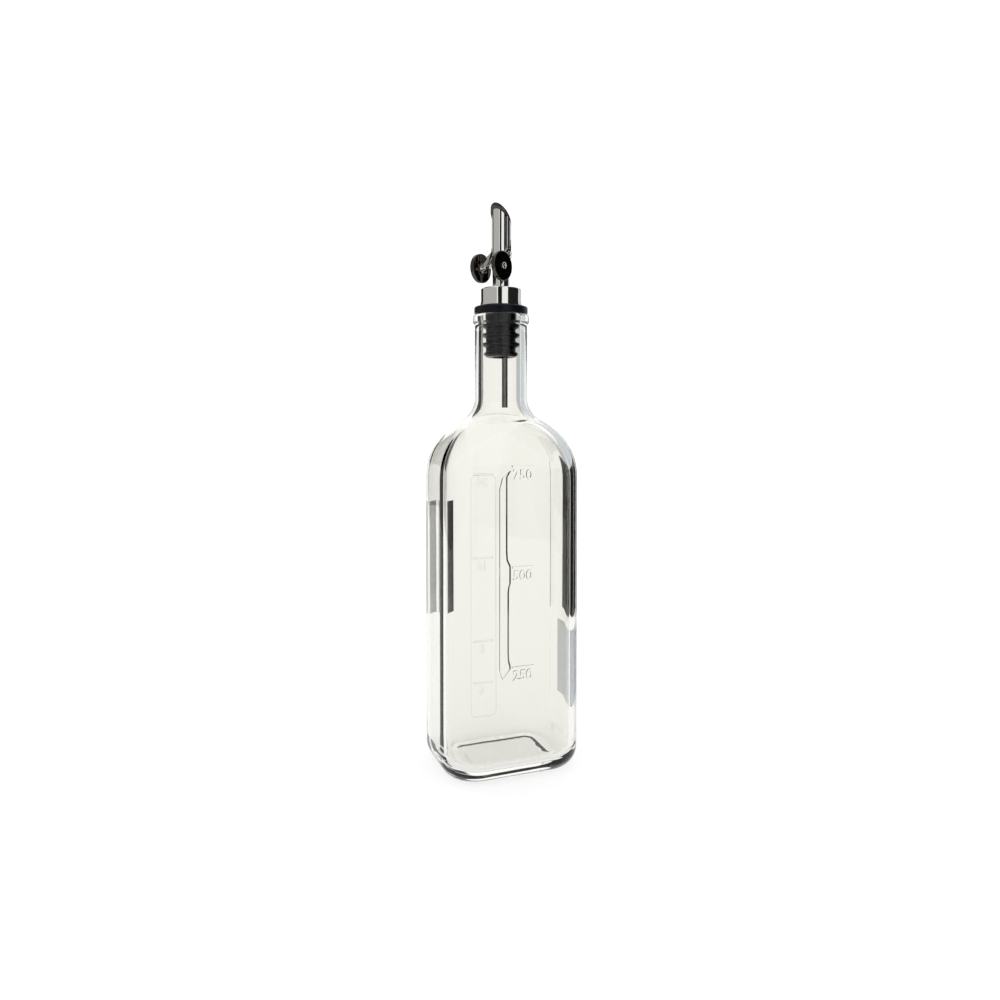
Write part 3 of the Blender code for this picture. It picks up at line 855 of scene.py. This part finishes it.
def lay_along_pin(piece, at, offset=0.0):
    """Turn a shape made about Z onto the hinge's direction, and move it to its place."""
    pick(piece)
    piece.rotation_euler = (-math.pi / 2, 0.0, 0.0)
    piece.location = (at[0], offset, at[1])
    bpy.ops.object.transform_apply(location=True, rotation=True, scale=True)
    return turn_to_pour(piece)


def weight_outline():
    half, edge = WEIGHT_THICKNESS / 2, WEIGHT_RADIUS - WEIGHT_ROUNDING
    hole = ROD_RADIUS + FIT
    points = [(hole, half)]
    points += arc_points(edge, half - WEIGHT_ROUNDING, WEIGHT_ROUNDING, 90, 0, 6)
    points += arc_points(edge, -half + WEIGHT_ROUNDING, WEIGHT_ROUNDING, 0, -90, 6)
    points.append((hole, -half))
    return points + points[:1]


def head_points(radius, foot, height, stem):
    """A low round rivet head, from its crown down to its stem."""
    points = [(CROWN * radius, foot + height)]
    for angle in range(20, 91, 10):
        turn = math.radians(angle)
        rise = RIM * height + (1 - RIM) * height * math.cos(turn)
        points.append((radius * math.sin(turn), foot + rise))
    return points + [(radius, foot), (stem, foot)]


def other_side(piece, name, at):
    """A copy with its own mesh, turned half round about the upright line through at."""
    pick(piece)
    bpy.ops.object.duplicate()
    twin = name_piece(name)
    middle = (at[0] * math.cos(POUR_TURN), at[0] * math.sin(POUR_TURN), 0.0)
    edit(twin)
    bpy.ops.mesh.select_all(action="SELECT")
    bpy.ops.transform.rotate(value=math.pi, orient_axis="Z", center_override=middle)
    bpy.ops.object.mode_set(mode="OBJECT")
    return twin


inner_face = SHEET_OUT + FIT
near_disc = turned("near_disc", weight_outline())
lay_along_pin(near_disc, WEIGHT_AT, inner_face + WEIGHT_THICKNESS / 2)
far_disc = other_side(near_disc, "far_disc", WEIGHT_AT)
rod_foot = inner_face + WEIGHT_THICKNESS + FIT
upper_end = head_points(ROD_HEAD, rod_foot, ROD_HEAD_HEIGHT, ROD_RADIUS)
rod = turned("rod", upper_end + [(radius, -height) for radius, height in reversed(upper_end)], 48)
lay_along_pin(rod, WEIGHT_AT)
pin_points = head_points(PIN_HEAD, inner_face, PIN_HEAD_HEIGHT, PIN_RADIUS)
pin_points.append((PIN_RADIUS, SPOUT_RADIUS + FIT))
near_rivet = turned("near_rivet", pin_points, 48)
lay_along_pin(near_rivet, HINGE)
far_rivet = other_side(near_rivet, "far_rivet", HINGE)
print("rod is", round(2 * (rod_foot + ROD_HEAD_HEIGHT), 4), "long")

# %% [markdown]
# Clear glass is a shader that lets everything through, and its look comes from its shape. Its
# small warm tint dims the light at each skin that it passes. Rubber and steel get a faint grain
# from noise on their own coordinates, so that no surface is perfectly even.

# %% Materials


def new_material(name, **values):
    finish = bpy.data.materials.new(name)
    finish.use_nodes = True
    shader = finish.node_tree.nodes["Principled BSDF"]
    for socket, value in values.items():
        shader.inputs[socket.replace("_", " ")].default_value = value
    return finish, finish.node_tree, shader


def clear_glass():
    finish, tree, shader = new_material(
        "clear glass", Base_Color=(0.905, 0.90, 0.865, 1.0), Roughness=0.0, IOR=1.5,
        Transmission_Weight=1.0, Specular_Tint=(0.35, 0.35, 0.35, 1.0))
    place = tree.nodes.new("ShaderNodeTexCoord")
    waves = tree.nodes.new("ShaderNodeTexNoise")
    waves.inputs["Scale"].default_value = 45.0
    waves.inputs["Detail"].default_value = 1.0
    bump = tree.nodes.new("ShaderNodeBump")
    bump.inputs["Strength"].default_value = 0.06
    bump.inputs["Distance"].default_value = 0.0004
    tree.links.new(place.outputs["Object"], waves.inputs["Vector"])
    tree.links.new(waves.outputs["Fac"], bump.inputs["Height"])
    tree.links.new(bump.outputs["Normal"], shader.inputs["Normal"])
    return finish


def painted_shade_glass():
    """Glass for the bar's slope, painted near black as shade, because its steep face looks dark in a white
    room.
    """
    return new_material(
        "painted shade glass", Base_Color=(0.01, 0.01, 0.01, 1.0), Roughness=0.05, IOR=1.5,
        Transmission_Weight=1.0)[0]


def black_rubber():
    finish, tree, shader = new_material("black rubber", Roughness=0.3, Specular_IOR_Level=0.15)
    place = tree.nodes.new("ShaderNodeTexCoord")
    grain = tree.nodes.new("ShaderNodeTexNoise")
    grain.inputs["Scale"].default_value = 900.0
    tone = tree.nodes.new("ShaderNodeValToRGB")
    tone.color_ramp.elements[0].color = (0.001, 0.002, 0.004, 1.0)
    tone.color_ramp.elements[1].color = (0.003, 0.005, 0.008, 1.0)
    tree.links.new(place.outputs["Object"], grain.inputs["Vector"])
    tree.links.new(grain.outputs["Fac"], tone.inputs["Fac"])
    tree.links.new(tone.outputs["Color"], shader.inputs["Base Color"])
    return finish


def polished_steel(name, colour):
    finish, tree, shader = new_material(name, Base_Color=(*colour, 1.0), Metallic=1.0)
    place = tree.nodes.new("ShaderNodeTexCoord")
    wear = tree.nodes.new("ShaderNodeTexNoise")
    wear.inputs["Scale"].default_value = 260.0
    wear.inputs["Detail"].default_value = 3.0
    dull = tree.nodes.new("ShaderNodeMapRange")
    dull.inputs["To Min"].default_value = 0.03
    dull.inputs["To Max"].default_value = 0.09
    tree.links.new(place.outputs["Object"], wear.inputs["Vector"])
    tree.links.new(wear.outputs["Fac"], dull.inputs["Value"])
    tree.links.new(dull.outputs["Result"], shader.inputs["Roughness"])
    return finish


glass_finish = clear_glass()
rubber_finish = black_rubber()
steel_finish = polished_steel("polished steel", (0.74, 0.73, 0.70))
# Near-black steel is a painted dark reflection: it stands for the dark surroundings that the weights and
# the flap's plate mirror.
painted_reflection_finish = polished_steel("steel with painted dark reflection", (0.07, 0.062, 0.055))
# The air tube's steel has a much darker colour than the collar's, with the same roughness.
tube_finish = polished_steel("dark tube steel", (0.13, 0.125, 0.12))


def dress(piece, finish, body, node):
    piece.data.materials.append(finish)
    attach(piece, body)
    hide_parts(node)


dress(bottle_glass, glass_finish, "bottle", "glass_bottle")
# The second finish of the glass is painted shade: near-black glass for the bar's slope.
bottle_glass.data.materials.append(painted_shade_glass())
dress(stopper, rubber_finish, "bottle", "rubber_stopper")
for piece, body, node in (
        (collar, "bottle", "steel_collar"), (spout, "bottle", "spout_tube"),
        (near_rivet, "bottle", "near_hinge_pin"),
        (far_rivet, "bottle", "far_hinge_pin"), (flap, "flap", "pour_flap"),
        (rod, "flap", "weight_rod")):
    dress(piece, steel_finish, body, node)
# The flap's plate above the mouth takes the painted dark reflection.
flap.data.materials.append(painted_reflection_finish)
dress(air_tube, tube_finish, "bottle", "air_tube")
# The weights wear steel painted with a dark reflection.
dress(near_disc, painted_reflection_finish, "flap", "near_weight")
dress(far_disc, painted_reflection_finish, "flap", "far_weight")
print("finishes:", glass_finish.name, rubber_finish.name, steel_finish.name, painted_reflection_finish.name)

# %% [markdown]
# Clear glass and polished steel show what stands round them. The floor and the sky are nearly
# white, and black and grey panels stand round the object, where only glass and steel see them.
# They draw the dark streaks in the glass and the stripes on the steel.

# %% Floor and surroundings


def plain(name, colour):
    finish = bpy.data.materials.new(name)
    finish.use_nodes = True
    shader = finish.node_tree.nodes["Principled BSDF"]
    shader.inputs["Base Color"].default_value = (*colour, 1.0)
    shader.inputs["Roughness"].default_value = 0.9
    return finish


def light_table():
    """A pale top that glows, so that only a faint shadow is left under the glass."""
    finish = plain("light table", (0.25, 0.25, 0.25))
    shader = finish.node_tree.nodes["Principled BSDF"]
    shader.inputs["Emission Color"].default_value = (1.0, 1.0, 1.0, 1.0)
    shader.inputs["Emission Strength"].default_value = 0.78
    return finish


deselect_all()
bpy.ops.mesh.primitive_circle_add(vertices=96, radius=40.0, fill_type="NGON")
floor = name_piece("floor")
floor.data.materials.append(light_table())

sky = bpy.data.worlds.new("soft studio")
sky.use_nodes = True
sky.node_tree.nodes["Background"].inputs["Color"].default_value = (1.0, 1.0, 1.0, 1.0)
sky.node_tree.nodes["Background"].inputs["Strength"].default_value = 1.12
SCENE.world = sky
SCENE.view_settings.view_transform = "Standard"

VIEW_AZIMUTH = -21.0
BLACK = (0.0, 0.0, 0.0)


def panel(name, left, right, distance, height, tone, foot=0.0):
    """An upright panel between two bearings, in degrees to the right of the camera's side."""
    bearing = math.radians(VIEW_AZIMUTH - 90 + (left + right) / 2)
    width = 2 * distance * math.tan(math.radians(right - left) / 2)
    deselect_all()
    bpy.ops.mesh.primitive_plane_add(
        size=1.0, rotation=(math.pi / 2, 0.0, bearing - math.pi / 2),
        location=(distance * math.cos(bearing), distance * math.sin(bearing), foot + height / 2))
    card = name_piece(name)
    card.scale = (width, height, 1.0)
    bpy.ops.object.transform_apply(location=False, rotation=False, scale=True)
    return hide_card(card, tone)


def hide_card(card, tone):
    """Only mirrors and glass see a card: it casts no shadow, and the camera looks through it."""
    card.data.materials.append(plain(card.name, tone))
    card.visible_camera = False
    card.visible_diffuse = False
    card.visible_shadow = False
    return card


panel("low dark left panel", -163.0, -149.0, 0.27, 0.104, BLACK, foot=0.025)
panel("high dark left panel", -149.0, -120.0, 0.75, 0.375, BLACK, foot=0.211)
panel("tall grey left panel", -150.0, -23.0, 0.80, 1.4, (0.48, 0.48, 0.48))
panel("low dark right panel", 118.0, 162.0, 0.27, 0.166, BLACK, foot=0.025)
panel("low dark side panel", 66.0, 116.0, 0.27, 0.166, BLACK, foot=0.025)
panel("low grey right panel", 106.0, 153.0, 0.10, 0.053, (0.6, 0.63, 0.68), foot=0.0085)
panel("tall dark right panel", 40.0, 116.0, 0.75, 1.4, BLACK)
panel("high grey right panel", 120.0, 162.0, 0.75, 0.375, (0.6, 0.64, 0.68), foot=0.211)
front_card = panel("dark front panel", -17.0, 6.0, 0.75, 1.1, BLACK)
front_card.visible_transmission = False
print("the front panel shows in the steel and not through the glass")

# %% [markdown]
# The camera stands a little to the left of the near face, about level with the foot of the neck.
# A small shift lets it look almost level, which keeps the bottle's upright edges nearly parallel.

# %% Camera
LOOK_AT = Vector((-0.0006, 0.0, 0.1936))
CAMERA_DISTANCE = 0.480
CAMERA_AZIMUTH = math.radians(VIEW_AZIMUTH)
CAMERA_ELEVATION = math.radians(1.9)
back = Vector((
    math.sin(CAMERA_AZIMUTH) * math.cos(CAMERA_ELEVATION),
    -math.cos(CAMERA_AZIMUTH) * math.cos(CAMERA_ELEVATION),
    math.sin(CAMERA_ELEVATION)))
lens = bpy.data.cameras.new("camera")
lens.lens = 28.8
lens.sensor_width = 36.0
lens.shift_y = -0.06
lens.clip_start = 0.01
camera = bpy.data.objects.new("camera", lens)
camera.location = LOOK_AT + CAMERA_DISTANCE * back
camera.rotation_euler = back.to_track_quat("Z", "Y").to_euler()
SCENE.collection.objects.link(camera)
SCENE.camera = camera
print("camera looks from", [round(value, 3) for value in camera.location])
